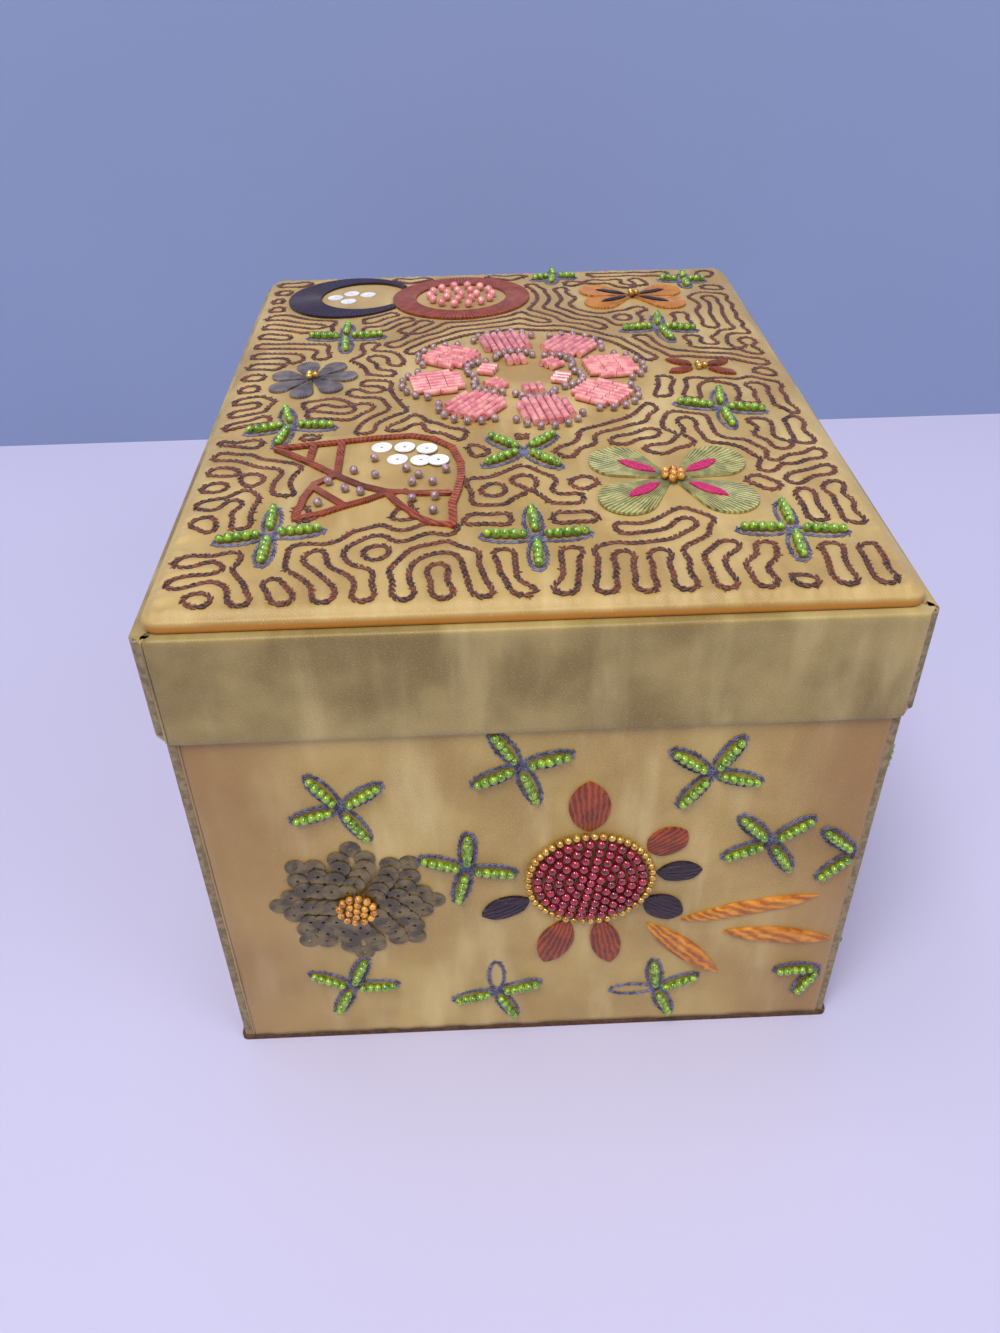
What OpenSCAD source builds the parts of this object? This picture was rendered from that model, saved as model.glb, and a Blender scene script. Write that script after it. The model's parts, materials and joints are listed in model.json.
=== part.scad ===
// Satin-covered keepsake box with a deep lift-off lid and a wadded, embroidered top panel.
// Millimetres. X to the right, Y to the back, Z up. The origin is the middle of the underside.

/* [Box] */
// Width of the closed box over the lid's rim
box_w = 160; // [158:1:200]
// Depth of the closed box over the lid's rim
box_d = 210; // [208:1:260]
// Height of the closed box to the top of the lid's rim
box_h = 133; // [131:1:170]
// Thickness of the covering satin with its paper backing
satin_t = 0.25; // [0.2:0.05:0.35]
// Radius of the covered upright corners
corner_r = 2.6; // [2:0.1:4]
// Width of the open join in the satin at the front left corner
seam_w = 0.3; // [0.2:0.05:0.5]
// How far the join lies in from the front left corner
seam_in = 3; // [2.8:0.1:5]

/* [Lid] */
// Height of the lid's rim
rim_h = 27; // [22:0.5:28]
// Thickness of the rim's card
rim_card_t = 0.8; // [0.6:0.1:1.2]
// Thickness of the satin strip that lines the rim
rim_lining_t = 0.2; // [0.15:0.05:0.3]
// Play between the rim's lining and the base, on each side
lid_play = 0.3; // [0.3:0.05:0.6]
// Gap between the lid's lining and the top of the walls
lid_seat = 0.2; // [0.2:0.05:0.5]
// Thickness of the board in the top of the lid
lid_board_t = 2; // [1.5:0.1:3]
// Thickness of the card that lines the lid
lid_lining_t = 0.8; // [0.6:0.1:1.2]
// Radius of the rim's lower corners
rim_foot_r = 5; // [3:0.5:6]
// Width of the satin turned in over the lid board
turn_in = 9; // [6:0.5:12]

/* [Padded panel] */
// How far the padded panel stays inside the lid's faces
panel_in = 2.2; // [1.5:0.1:4]
// Corner radius of the padded panel
panel_r = 4; // [3:0.5:6]
// Thickness of the panel's card
panel_card_t = 1; // [0.8:0.1:1.5]
// Thickness of the embroidered cover
panel_cover_t = 0.4; // [0.3:0.05:0.6]
// Height of the panel's rolled edge above its card
panel_roll = 1.8; // [1.2:0.1:3]
// How far in from its outline the rolled edge reaches
panel_roll_in = 4; // [3:0.5:6]
// How much higher the middle of the panel is than its edges
panel_crown = 3; // [1.5:0.25:5]

/* [Base] */
// Thickness of the wall boards
wall_t = 2.5; // [2:0.1:3.5]
// Thickness of the floor board
floor_t = 2.5; // [2:0.1:3.5]
// Thickness of the card under the box
foot_t = 1.2; // [0.8:0.1:2]
// How far the card under the box stands out past the walls
foot_out = 0.5; // [0.3:0.1:1]
// Thickness of the satin-covered lining cards
lining_t = 1.2; // [0.8:0.1:1.6]
// How far the lining cards stop below the top of the walls
lining_drop = 2.5; // [1:0.5:5]
// Depth of the satin turned in over the walls
wall_turn = 12; // [8:1:20]
// Thickness of the padded lining of the floor
floor_pad_t = 2; // [1.5:0.25:4]

/* [Beadwork] */
// Diameter of the green glass beads
green_d = 2.2; // [1.9:0.05:2.4]
// Spacing of the beads along a row
green_pitch = 1.9; // [1.7:0.05:2.1]
// Beads in the row along one leaf of a sprig
row_beads = 5; // [4:1:5]
// How far a row of beads starts from the middle of its sprig
row_start = 1.7; // [1.5:0.1:2.2]
// Diameter of the dark red beads
red_d = 2.3; // [2:0.05:2.4]
// Spacing of the dark red beads
red_pitch = 2.5; // [2.45:0.05:2.7]
// Rings of dark red beads round the middle one
red_rings = 5; // [4:1:5]
// Diameter of the gold and amber beads
gold_d = 1.9; // [1.7:0.05:2]
// Diameter of the mauve and silver edging beads
mauve_d = 2; // [1.8:0.05:2.2]
// Length of the pink bugle beads
bugle_l = 4.4; // [4:0.1:4.8]
// Diameter of the pink bugle beads
bugle_d = 1.8; // [1.6:0.05:1.9]
// Gap between neighbouring bugle beads
bugle_gap = 0.2; // [0.15:0.05:0.3]
// Diameter of the sequins
sequin_d = 5; // [4.6:0.1:5.2]
// Thickness of a sequin
sequin_t = 0.25; // [0.2:0.05:0.3]
// Diameter of a sequin's hole
sequin_hole = 0.8; // [0.6:0.1:1]
// Thickness of the flat stitching
stitch_t = 0.6; // [0.4:0.05:0.8]
// Height of the padded satin-stitched petals
petal_h = 1.1; // [0.8:0.1:1.4]
// How far beadwork and stitching stand clear of the satin under them
seat = 0.08; // [0.05:0.01:0.15]

/* [Hidden] */

// Faces of round shapes
$fn = 48;
bead_fn = 24;
arch_fn = 360;
// How much of a padded leaf's height is lost at its tips, and at its sides
leaf_tip_drop = 0.6;
leaf_side_drop = 0.5;
// Hair's breadth between pieces that lie on each other
nick = 0.02;

// The rim, from its outer face inwards
rim_wall_t = satin_t + rim_card_t + rim_lining_t;
rim_z = box_h - rim_h;
lid_under_z = box_h - satin_t - lid_board_t;
base_h = lid_under_z - lid_lining_t - lid_seat;

// The base inside the rim
base_in = rim_wall_t + lid_play;
base_w = box_w - 2 * base_in;
base_d = box_d - 2 * base_in;
wall_top = base_h - satin_t;
floor_top = foot_t + floor_t;
lining_top = base_h - lining_drop;

// The padded panel on the lid
panel_w = box_w - 2 * panel_in;
panel_d = box_d - 2 * panel_in;
card_w = panel_w - 2 * panel_cover_t;
card_d = panel_d - 2 * panel_cover_t;
card_z = box_h + panel_cover_t;
pad_z = card_z + panel_card_t;

// Rings of points, from the rolled edge in to the middle, as shares of the half width
corner_steps = 3;
side_steps = 7;
ring_ins = [0, 0.3, 1, 2.2, panel_roll_in, 12, 24, 38, 54];

// Height of the panel's outer surface above its card, at a distance in from the outline
function roll(gap) =
  panel_roll * sqrt(1 - pow(1 - min(1, max(0, gap) / panel_roll_in), 2));
function crown(x, y) =
  panel_crown * (1 - pow(2 * x / panel_w, 2)) * (1 - pow(2 * y / panel_d, 2));
function panel_top(x, y) = pad_z + panel_cover_t + panel_roll + max(0, crown(x, y));

// Slopes of the crown, for tilting what lies on it
function tilt_x(x, y) = atan(-8 * panel_crown * y / pow(panel_d, 2) * (1 - pow(2 * x / panel_w, 2)));
function tilt_y(x, y) = atan(8 * panel_crown * x / pow(panel_w, 2) * (1 - pow(2 * y / panel_d, 2)));

// One quarter of a rounded outline, then the whole of it, w by d, drawn in by gap
function quarter(w, d, r, k) = [
  for (i = [0:corner_steps])
    let (a = 90 * k + 90 * i / corner_steps, sx = k == 0 || k == 3 ? 1 : -1, sy = k < 2 ? 1 : -1)
    [sx * (w / 2 - r) + r * cos(a), sy * (d / 2 - r) + r * sin(a)]
];
function between(a, b) = [for (i = [1:side_steps - 1]) a + (b - a) * i / side_steps];
function outline(w, d, r) = [
  for (k = [0:3])
    let (here = quarter(w, d, r, k), next = quarter(w, d, r, (k + 1) % 4))
    each concat(here, between(here[corner_steps], next[0]))
];
ring_count = len(ring_ins);
ring_size = 4 * (corner_steps + side_steps);

// Points of a crowned sheet: rings drawn in from the outline, then the middle point
function dome_points(w, d, r, base_z) = concat(
  [
    for (gap = ring_ins)
      let (share = 1 - 2 * gap / w)
      for (p = outline(w, d, r))
        let (x = p[0] * share, y = p[1] * share)
        [x, y, base_z + roll(gap) + crown(x, y) * min(1, gap / panel_roll_in)]
  ],
  [[0, 0, base_z + panel_roll + panel_crown]]
);
// Triangles of that sheet, facing up, with its points numbered from start
function dome_faces(start) = concat(
  [
    for (j = [0:ring_count - 2], i = [0:ring_size - 1])
      let (n = (i + 1) % ring_size, a = start + j * ring_size, b = a + ring_size)
      each [[a + i, b + i, a + n], [a + n, b + i, b + n]]
  ],
  [
    for (i = [0:ring_size - 1])
      let (a = start + (ring_count - 1) * ring_size)
      [a + i, start + ring_count * ring_size, a + (i + 1) % ring_size]
  ]
);

// Shared shapes

module rounded(w, d, r) {
  square([w - 2 * r, d], center = true);
  square([w, d - 2 * r], center = true);
  for (x = [-1, 1], y = [-1, 1])
    translate([x * (w / 2 - r), y * (d / 2 - r)])
      circle(r = r);
}

// A rounded plate, drawn in from the outline of the box by gap on every side
module plate(gap, low, high) {
  translate([0, 0, low])
    linear_extrude(high - low)
      rounded(box_w - 2 * gap, box_d - 2 * gap, max(0.3, corner_r - gap));
}

// A ring of wall between two such plates
module ring(gap, thick, low, high) {
  difference() {
    plate(gap, low, high);
    plate(gap + thick, low - 1, high + 1);
  }
}

// The part of its children that lies on one side of the box, between mitre-free butt joints
module side_slab(side, gap, thick, low, high) {
  w = box_w - 2 * gap;
  d = box_d - 2 * gap;
  intersection() {
    children();
    if (side == "front" || side == "back")
      translate([-w / 2 - 1, side == "front" ? -d / 2 - 1 : d / 2 - thick, low])
        cube([w + 2, thick + 1, high - low]);
    else
      translate([side == "left" ? -w / 2 - 1 : w / 2 - thick, -d / 2 + thick, low])
        cube([thick + 1, d - 2 * thick, high - low]);
  }
}

// What is cut off a square corner to leave a quarter round of radius r, through a wall
module corner_spandrel(r, thick) {
  translate([0, 0, -1])
    linear_extrude(thick + 1)
      difference() {
        translate([-1, -1])
          square([r + 1, r + 1]);
        translate([r, r])
          circle(r = r);
      }
}

// The rim's lower corners, rounded as seen from the front and from the side. The cut goes
// past the wall by the reach of its rounded inner corner.
module round_lower_corners(gap) {
  low = rim_z + gap;
  r = rim_foot_r - gap;
  thick = rim_wall_t - gap + corner_r / 2;
  difference() {
    children();
    for (sx = [-1, 1], sy = [-1, 1])
      scale([sx, sy, 1])
        translate([-box_w / 2 + gap, -box_d / 2 + gap, low]) {
          rotate([90, 0, 0])
            mirror([0, 0, 1])
              corner_spandrel(r, thick);
          rotate([90, 0, 90])
            corner_spandrel(r, thick);
        }
  }
}

// Places its children on the crowned panel, on the front of the base, or on its right side.
// A height on the base is a share of the wall that shows below the rim.
module on_panel(x, y, turn = 0) {
  translate([x, y, panel_top(x, y) + seat])
    rotate([tilt_x(x, y), tilt_y(x, y), 0])
      rotate([0, 0, turn])
        children();
}
module on_front(x, share, turn = 0) {
  translate([x, -base_d / 2 - seat, foot_t + share * (rim_z - foot_t)])
    rotate([90, 0, 0])
      rotate([0, 0, turn])
        children();
}
module on_right(back, share, turn = 0) {
  translate([base_w / 2 + seat, -base_d / 2 + back, foot_t + share * (rim_z - foot_t)])
    rotate([90, 0, 90])
      rotate([0, 0, turn])
        children();
}

// A bead lying on the surface
module bead(d) {
  translate([0, 0, d / 2])
    sphere(d = d, $fn = bead_fn);
}

// A row of beads threaded along X, starting at x = row_start, smaller at its ends
module bead_row(count) {
  translate([row_start, 0, green_d / 2])
    rotate([0, 90, 0])
      rotate_extrude($fn = bead_fn)
        intersection() {
          for (i = [0:count - 1])
            translate([0, green_d / 2 + i * green_pitch])
              circle(d = green_d - (i == 0 || i == count - 1 ? 0.3 : 0), $fn = bead_fn);
          square([green_d, (count + 1) * green_pitch]);
        }
}

// A sprig of bead rows that leave its middle at the given angles
module sprig(angles, count = row_beads) {
  for (a = angles)
    rotate([0, 0, a])
      bead_row(count);
}

// A pointed leaf outline along X from the origin
module leaf_shape(length, width) {
  half = width / 2;
  r = arc_r(length, half);
  translate([length / 2, 0])
    intersection() {
      translate([0, r - half])
        circle(r = r, $fn = arch_fn);
      translate([0, half - r])
        circle(r = r, $fn = arch_fn);
    }
}

// A round-ended lobe along X from the origin, with straight sides that meet at the origin
module lobe_shape(length, width) {
  r = width / 2;
  far = length - r;
  side = sqrt(far * far - r * r);
  lean = asin(r / far);
  translate([far, 0])
    circle(r = r);
  polygon([[0, 0], [side * cos(lean), -side * sin(lean)], [side * cos(lean), side * sin(lean)]]);
}

// Radius of an arc that drops by drop over half its span
function arc_r(span, drop) = (span * span / 4 + drop * drop) / (2 * drop);

// A padded, satin-stitched leaf: its outline cut from a pillow that is arched both ways
module padded_leaf(length, width, height) {
  along_r = arc_r(length, height * leaf_tip_drop);
  across_r = arc_r(width, height * leaf_side_drop);
  intersection() {
    linear_extrude(height + 1)
      leaf_shape(length, width);
    translate([length / 2, 0, height - along_r])
      rotate([90, 0, 0])
        cylinder(r = along_r, h = width + 2, center = true, $fn = arch_fn);
    translate([length / 2, 0, height - across_r])
      rotate([0, 90, 0])
        cylinder(r = across_r, h = length + 2, center = true, $fn = arch_fn);
  }
}

// A stitched line through a list of points, a little wider where it turns
turn_share = 1.12;
module stroke(points, width, thick = stitch_t) {
  linear_extrude(thick) {
    for (p = points)
      translate(p)
        circle(d = width * turn_share, $fn = bead_fn);
    for (i = [0:len(points) - 2])
      let (step = points[i + 1] - points[i])
      translate(points[i])
        rotate(atan2(step[1], step[0]))
          translate([0, -width / 2])
            square([norm(step), width]);
  }
}

module sequin() {
  difference() {
    cylinder(d = sequin_d, h = sequin_t);
    translate([0, 0, -1])
      cylinder(d = sequin_hole, h = sequin_t + 2, $fn = bead_fn);
  }
}

// The base

module foot_card() {
  color("saddlebrown")
    plate(base_in - foot_out, 0, foot_t);
}

module floor_board() {
  color("tan")
    plate(base_in + satin_t + wall_t, foot_t, floor_top);
}

module wall(side) {
  color("tan")
    side_slab(side, base_in + satin_t, wall_t, foot_t, wall_top)
      plate(base_in + satin_t, foot_t, wall_top);
}
module front_wall() { wall("front"); }
module back_wall() { wall("back"); }
module left_wall() { wall("left"); }
module right_wall() { wall("right"); }

// The join that runs down the satin by the front left corner
module seam(face_w, face_d, low, high) {
  translate([-face_w / 2 + seam_in, -face_d / 2 - 1, low])
    cube([seam_w, 1 + satin_t + nick, high - low]);
}

module base_cover() {
  color("darkkhaki")
    difference() {
      union() {
        ring(base_in, satin_t, foot_t, base_h);
        ring(base_in, 2 * satin_t + wall_t, wall_top, base_h);
        ring(base_in + satin_t + wall_t, satin_t, base_h - wall_turn, base_h);
      }
      seam(base_w, base_d, foot_t - 1, wall_top);
    }
}

lining_in = base_in + 2 * satin_t + wall_t;
module lining(side) {
  color("khaki")
    side_slab(side, lining_in, lining_t, floor_top, lining_top)
      plate(lining_in, floor_top, lining_top);
}
module front_lining() { lining("front"); }
module back_lining() { lining("back"); }
module left_lining() { lining("left"); }
module right_lining() { lining("right"); }

module floor_lining() {
  color("khaki")
    plate(lining_in + lining_t + satin_t, floor_top, floor_top + floor_pad_t);
}

// The beadwork on the base

// Sprigs on the front. Each is [x, share of the height, angles of its bead rows]
front_sprig_places = [
  [-43.7, 0.8, [123, 35, 197, 298]],
  [-3.6, 0.9, [121, 15, 206, 289]],
  [38.7, 0.86, [143, 60, 236, 344]],
  [54.6, 0.645, [133, 38, 204, 301]],
  [-16.3, 0.595, [87, 159, 350, 257]],
  [-47.3, 0.19, [150, 68, 0, 246]],
  [-10.1, 0.145, [195, 16, 294]],
  [31.5, 0.13, [96, 25, 292]]
];
module front_bead_sprigs() {
  color("olivedrab")
    for (p = front_sprig_places)
      on_front(p[0], p[1])
        sprig(p[2]);
}

// Sprigs at the front right corner: rows on the front, then rows on the right side.
// Each is [in from the corner, share, front angles, back from the corner, share, side angles]
corner_sprig_places = [
  [4.2, 0.925, [], 4.5, 0.9, [275, 20]],
  [3, 0.6, [138, 228], 3.4, 0.59, [30, 318]],
  [4.5, 0.19, [184, 244], 3.2, 0.21, [60, 340]]
];
module corner_bead_sprigs() {
  color("olivedrab")
    for (p = corner_sprig_places) {
      on_front(base_w / 2 - p[0], p[1])
        sprig(p[2]);
      on_right(p[3], p[4])
        sprig(p[5]);
    }
}

// Layers of sequins: how many lie in the ring and how far out it is, from the lowest layer up
sequin_layer = sequin_t + nick;
sequin_flower_place = [-42.9, 0.495];
sequin_layers = [[8, 18.6], [16, 15.8], [14, 13.2], [11, 10.4], [8, 7.8], [5, 5.6]];
module sequin_flower() {
  color("olive")
    on_front(sequin_flower_place[0], sequin_flower_place[1])
      for (k = [0:len(sequin_layers) - 1])
        for (i = [0:sequin_layers[k][0] - 1])
          rotate([0, 0, 360 * (i + k / 2) / sequin_layers[k][0]])
            translate([sequin_layers[k][1], 0, k * sequin_layer])
              sequin();
}

amber_layer_z = len(sequin_layers) * sequin_layer;
module amber_bead_middle() {
  color("goldenrod")
    on_front(sequin_flower_place[0], sequin_flower_place[1])
      translate([0, 0, amber_layer_z])
        bead_rings(gold_d, gold_d + 0.15, 2, 0);
}

// One bead in the middle and rings of beads round it, on a mound that rises to the middle
module bead_rings(d, pitch, rings, rise) {
  for (k = [0:rings])
    let (count = k == 0 ? 1 : 6 * k, lift = rise * (1 - pow(k / max(1, rings), 2)))
    for (i = [0:count - 1])
      rotate([0, 0, 360 * (i + k / 3) / count])
        translate([k * pitch, 0, lift])
          bead(d);
}

red_flower_place = [12.8, 0.55];
red_mound_h = 0.6;
red_mound_r = red_rings * red_pitch;
module red_bead_cluster() {
  color("darkred")
    on_front(red_flower_place[0], red_flower_place[1])
      bead_rings(red_d, red_pitch, red_rings, red_mound_h);
}

gold_edge_r = red_mound_r + red_d / 2 + gold_d / 2 + 0.15;
gold_edge_count = floor(360 / (2 * asin((gold_d / 2 + 0.07) / gold_edge_r)));
module gold_bead_edging() {
  color("gold")
    on_front(red_flower_place[0], red_flower_place[1])
      for (i = [0:gold_edge_count - 1])
        rotate([0, 0, 360 * i / gold_edge_count])
          translate([gold_edge_r, 0, 0])
            bead(gold_d);
}

// Stitched petals round the red flower: each is [angle, length, width]
petal_start = gold_edge_r + gold_d / 2 + 0.1;
rust_petal_list = [[92, 15.5, 9.5], [33, 10.5, 8.5], [251, 17, 8.5], [281, 17, 7.5]];
aubergine_petal_list = [[3, 11, 6.5], [328, 11.5, 8], [205, 13, 7]];
module petals(list) {
  for (p = list)
    on_front(red_flower_place[0], red_flower_place[1], p[0])
      translate([petal_start, 0, 0])
        padded_leaf(p[1], p[2], petal_h);
}
module rust_petals() {
  color("sienna")
    petals(rust_petal_list);
}
module aubergine_petals() {
  color("indigo")
    petals(aubergine_petal_list);
}

// Stitched leaves: each is [from the red flower's middle across and up, angle, length, width]
ochre_leaf_list = [[23, -16.8, 12, 34, 4.8], [34, -22, -9, 28.5, 5.4], [14.5, -17.5, -46, 29, 6]];
module ochre_leaves() {
  color("darkorange")
    on_front(red_flower_place[0], red_flower_place[1])
      for (p = ochre_leaf_list)
        translate([p[0], p[1], 0])
          rotate([0, 0, p[2]])
            padded_leaf(p[3], p[4], petal_h);
}

// The lid

module lid_board() {
  color("tan")
    plate(satin_t + rim_card_t, lid_under_z, box_h - satin_t);
}

module rim_card(side) {
  color("tan")
    round_lower_corners(satin_t)
      side_slab(side, satin_t, rim_card_t, rim_z + satin_t, box_h - satin_t)
        plate(satin_t, rim_z + satin_t, box_h - satin_t);
}
module front_rim_card() { rim_card("front"); }
module back_rim_card() { rim_card("back"); }
module left_rim_card() { rim_card("left"); }
module right_rim_card() { rim_card("right"); }

module rim_cover() {
  color("darkkhaki")
    difference() {
      round_lower_corners(0)
        union() {
          ring(0, satin_t, rim_z, box_h);
          ring(0, rim_wall_t, rim_z, rim_z + satin_t);
          ring(0, turn_in, box_h - satin_t, box_h);
        }
      seam(box_w, box_d, rim_z + satin_t, box_h - satin_t);
    }
}

module rim_lining() {
  color("khaki")
    round_lower_corners(satin_t)
      ring(satin_t + rim_card_t, rim_lining_t, rim_z + satin_t, lid_under_z);
}

module lid_lining() {
  color("khaki")
    plate(rim_wall_t, lid_under_z - lid_lining_t, lid_under_z);
}

module panel_card() {
  color("tan")
    translate([0, 0, card_z])
      linear_extrude(panel_card_t)
        rounded(card_w, card_d, panel_r - panel_cover_t);
}

module panel_wadding() {
  color("white")
    crowned_solid(card_w, card_d, panel_r - panel_cover_t, pad_z);
}

// A crowned sheet closed by a flat underside
module crowned_solid(w, d, r, base_z) {
  top = dome_points(w, d, r, base_z);
  under = len(top);
  polyhedron(
    points = concat(top, [[0, 0, base_z]]),
    faces = concat(dome_faces(0), [for (i = [0:ring_size - 1]) [i, (i + 1) % ring_size, under]]),
    convexity = 4
  );
}

// The embroidered cover: a skirt down the card's edge, a crowned top, and a turned-under hem
hem_w = 8;
module panel_cover() {
  color("goldenrod") {
    difference() {
      translate([0, 0, box_h])
        linear_extrude(pad_z - box_h)
          rounded(panel_w, panel_d, panel_r);
      translate([0, 0, card_z])
        linear_extrude(pad_z - box_h)
          rounded(card_w, card_d, panel_r - panel_cover_t);
      translate([0, 0, box_h - 1])
        linear_extrude(pad_z - box_h)
          rounded(panel_w - 2 * hem_w, panel_d - 2 * hem_w, panel_r - panel_cover_t);
    }
    crowned_skin();
  }
}

// The cover's crowned top: an outer sheet and an inner one, joined round their foot
module crowned_skin() {
  outer = dome_points(panel_w, panel_d, panel_r, pad_z + panel_cover_t);
  inner = dome_points(card_w, card_d, panel_r - panel_cover_t, pad_z);
  foot = [for (p = outline(panel_w, panel_d, panel_r)) [p[0], p[1], pad_z]];
  outer_n = len(outer);
  foot_n = outer_n + len(inner);
  polyhedron(
    points = concat(outer, inner, foot),
    faces = concat(
      dome_faces(0),
      [for (f = dome_faces(outer_n)) [f[0], f[2], f[1]]],
      [
        for (i = [0:ring_size - 1])
          let (n = (i + 1) % ring_size)
          each [
            [i, n, foot_n + i], [n, foot_n + n, foot_n + i],
            [foot_n + i, foot_n + n, outer_n + i], [foot_n + n, outer_n + n, outer_n + i]
          ]
      ]
    ),
    convexity = 6
  );
}

// The embroidery and beadwork on the lid. Places are measured from the middle of the panel.

lid_sprig_places = [
  [18.3, 93.5, [354, 90, 199, 260]],
  [61.1, 86.8, [356, 80, 170, 274]],
  [-47.7, 39.3, [357, 89, 166, 275]],
  [45.6, 40, [351, 83, 193, 282]],
  [52.7, -18.3, [354, 82, 167, 274]],
  [-56.9, -20.7, [348, 104, 188, 258]],
  [0.9, -41.4, [315, 45, 136, 213]],
  [-55.6, -73.8, [5, 91, 188, 269]],
  [1.4, -79.2, [5, 93, 174, 269]],
  [56.1, -78.6, [354, 90, 178, 266]]
];
// The two sprigs at the back edge have shorter rows
short_row = row_beads - 2;
back_sprigs = 2;
module lid_bead_sprigs() {
  color("olivedrab")
    for (i = [0:len(lid_sprig_places) - 1])
      let (p = lid_sprig_places[i])
      on_panel(p[0], p[1])
        sprig(p[2], i < back_sprigs ? short_row : row_beads);
}

// The pink flower: petals filled with bugle beads laid side by side, edged with mauve beads
pink_flower_place = [3.5, 3.5];
// Each whorl of petals is [petals, distance to their middle, radius of a petal, first angle]
pink_whorls = [[8, 24, 8.2, 10], [6, 10.4, 4.6, 40]];
module pink_petal(r) {
  across = bugle_d + bugle_gap;
  along = bugle_l + bugle_gap;
  rows = floor((r - bugle_d / 2) / across);
  for (k = [-rows:rows])
    let (count = max(1, floor(2 * sqrt(r * r - pow(k * across, 2)) / along)))
    for (i = [0:count - 1])
      translate([(i - (count - 1) / 2) * along, k * across, bugle_d / 2])
        rotate([0, 90, 0])
          cylinder(d = bugle_d, h = bugle_l, center = true, $fn = bead_fn);
}
function whorl_place(whorl, i) =
  let (a = whorl[3] + 360 * i / whorl[0])
  pink_flower_place + whorl[1] * [cos(a), sin(a)];
module pink_flower_petals() {
  color("lightcoral")
    for (whorl = pink_whorls, i = [0:whorl[0] - 1])
      let (place = whorl_place(whorl, i))
      on_panel(place[0], place[1], whorl[3] + 360 * i / whorl[0])
        pink_petal(whorl[2]);
}
// Beads round the outer side of each petal
edging_spread = 66;
edging_step = 22;
module pink_flower_edging() {
  color("rosybrown")
    for (whorl = pink_whorls, i = [0:whorl[0] - 1], b = [-edging_spread:edging_step:edging_spread])
      let (a = whorl[3] + 360 * i / whorl[0] + b, reach = whorl[2] + mauve_d / 2 + bugle_gap)
      let (place = whorl_place(whorl, i) + reach * [cos(a), sin(a)])
      on_panel(place[0], place[1])
        bead(mauve_d);
}

crescent_place = [-49, 78];
crescent_r = 20;
crescent_hole_r = 14;
crescent_lift = 0.07; // clears the slope of the panel under so wide a piece
module crescent() {
  color("indigo")
    on_panel(crescent_place[0], crescent_place[1])
      translate([0, 0, crescent_lift])
        linear_extrude(stitch_t)
        difference() {
          circle(r = crescent_r);
          translate([4.5, 0.5])
            circle(r = crescent_hole_r);
          translate([ring_flower_place[0] - crescent_place[0], ring_flower_place[1] - crescent_place[1]])
            circle(r = ring_flower_r + 0.3);
        }
}
crescent_sequin_list = [[-8, 3], [-3, 6.5], [2.5, 4.5], [-3.5, -1.5]];
module crescent_sequins() {
  color("white")
    for (p = crescent_sequin_list)
      on_panel(crescent_place[0] + p[0] + 3, crescent_place[1] + p[1] - 2)
        sequin();
}

ring_flower_place = [-13, 73];
ring_flower_r = 22;
ring_flower_hole_r = 14.5;
module ring_flower() {
  color("sienna")
    on_panel(ring_flower_place[0], ring_flower_place[1])
      linear_extrude(stitch_t)
        difference() {
          circle(r = ring_flower_r);
          circle(r = ring_flower_hole_r);
        }
}
module ring_flower_beads() {
  color("plum")
    for (k = [0:2])
      let (count = k == 0 ? 1 : 7 * k)
      for (i = [0:count - 1])
        let (a = 360 * i / count)
        on_panel(ring_flower_place[0] + 5 * k * cos(a), ring_flower_place[1] + 5 * k * sin(a))
          bead(mauve_d + 0.6);
}

// The ochre flower: four broad stitched petals, each with a dark stroke
ochre_flower_place = [42, 70];
ochre_petal_angles = [28, 152, 212, 328];
module ochre_flower() {
  color("peru")
    on_panel(ochre_flower_place[0], ochre_flower_place[1])
      linear_extrude(stitch_t)
        for (a = ochre_petal_angles)
          rotate(a)
            lobe_shape(18, 11);
}
module ochre_flower_strokes() {
  color("indigo")
    on_panel(ochre_flower_place[0], ochre_flower_place[1])
      for (a = ochre_petal_angles)
        rotate([0, 0, a])
          translate([2.6, 0, stitch_t])
            padded_leaf(10, 2.4, stitch_t);
}

ruffled_flower_place = [-54.5, 9];
ruffle_count = 7;
module ruffled_flower() {
  color("dimgray")
    on_panel(ruffled_flower_place[0], ruffled_flower_place[1])
      linear_extrude(stitch_t)
        for (i = [0:ruffle_count - 1])
          rotate(360 * i / ruffle_count)
            lobe_shape(12.5, 6.4);
}

small_flower_place = [52.5, 9];
module small_rust_flower() {
  color("sienna")
    on_panel(small_flower_place[0], small_flower_place[1])
      for (a = [30, 150, 205, 335])
        rotate([0, 0, a])
          translate([2.3, 0, 0])
            padded_leaf(8, 3.2, petal_h);
}

// Three gold beads in the middle of each of the small flowers
module flower_middle_beads() {
  color("gold")
    for (p = [ruffled_flower_place, ochre_flower_place, small_flower_place])
      let (lift = p == small_flower_place ? 0 : stitch_t + seat)
      on_panel(p[0], p[1])
        for (a = [0, 120, 240])
          rotate([0, 0, a])
            translate([gold_d * 0.59, 0, lift])
              bead(gold_d);
}

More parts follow.
